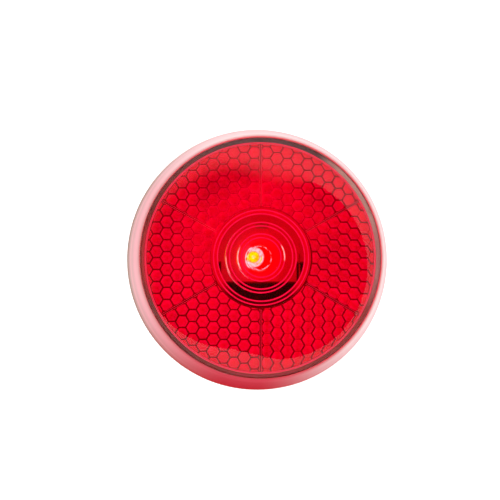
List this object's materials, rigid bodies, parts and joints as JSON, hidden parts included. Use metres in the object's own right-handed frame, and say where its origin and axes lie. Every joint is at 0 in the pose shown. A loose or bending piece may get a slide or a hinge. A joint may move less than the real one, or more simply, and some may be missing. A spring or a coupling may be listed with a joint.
{
  "type": "clip-on led safety flasher",
  "caption": "Round clip-on safety flasher with a clear domed cover, a red prismatic reflector, one LED behind its window, a twist-off front, a push button and a sprung clip.",
  "frame": {"origin": "under the middle of the lens, on the flat outer face of the clip that the flasher rests on", "axes": "+Z points out of the lens along the light's beam, +Y points up as the flasher is worn, with the clip's thumb end up, and +X points to the right seen from the front"},
  "size_m": [0.057, 0.057, 0.0256],
  "materials": {
    "clear_cover": "clear, polished",
    "red_lens": "clear red, prisms on the inside",
    "reflector_tray": "bright white",
    "bezel_ring": "dark grey",
    "red_skirt": "clear red",
    "base_shell": "red, lightly textured",
    "seal_ring": "black",
    "battery_holder": "black",
    "cells": "nickel plated",
    "contacts": "nickel plated spring strip",
    "screws": "zinc plated",
    "board": "tan paper laminate",
    "leads": "tinned",
    "die": "lit",
    "epoxy": "clear epoxy",
    "solder": "bright solder",
    "chip": "black epoxy drop",
    "resistor": "black with tinned ends",
    "capacitor": "dark blue sleeve",
    "switch": "black",
    "plunger": "brown",
    "button": "dark red",
    "pin": "plain steel",
    "spring": "spring steel",
    "clip": "white, lightly textured",
    "pad": "black"
  },
  "bodies": {
    "base": {"base_shell": "base_shell", "seal_ring": "seal_ring", "battery_holder": "battery_holder", "cell_left": "cells", "cell_low": "cells", "cell_right": "cells", "bridge_top": "contacts", "bridge_bottom": "contacts", "contact_minus": "contacts", "contact_plus": "contacts", "holder_screws": "screws", "circuit_board": "board", "board_screws": "screws", "led_leads": "leads", "led_die": "die", "led_dome": "epoxy", "solder_joints": "solder", "flasher_chip": "chip", "resistor": "resistor", "capacitor": "capacitor", "switch_body": "switch", "hinge_pin": "pin", "clip_spring": "spring"},
    "front": {"clear_cover": "clear_cover", "red_lens": "red_lens", "reflector_tray": "reflector_tray", "bezel_ring": "bezel_ring", "red_skirt": "red_skirt"},
    "clip": {"clip_arm": "clip", "jaw_pad": "pad"},
    "button": {"push_button": "button"},
    "plunger": {"switch_plunger": "plunger"}
  },
  "joints": [
    {"name": "front_twist", "type": "hinge", "parent": "base", "child": "front", "pos_m": [0, 0, 0.012], "axis": [0, 0, 1], "range_deg": [0, 30]},
    {"name": "clip_hinge", "type": "hinge", "parent": "base", "child": "clip", "pos_m": [0, 0.009, 0.0036], "axis": [1, 0, 0], "range_deg": [0, 18], "stiffness_Nm_per_rad": 0.15, "springref_deg": -60.16, "deforming": ["clip_spring"]},
    {"name": "button_press", "type": "slide", "parent": "base", "child": "button", "axis": [0, 0, 1], "range_m": [0, 0.0005], "stiffness_N_per_m": 2500, "springref_m": -0.0003},
    {"name": "plunger_press", "type": "slide", "parent": "base", "child": "plunger", "axis": [0, 0, 1], "range_m": [0, 0.0005]}
  ],
  "couplings": [
    {"joint": "plunger_press", "follows": "button_press", "ratio": 1}
  ]
}
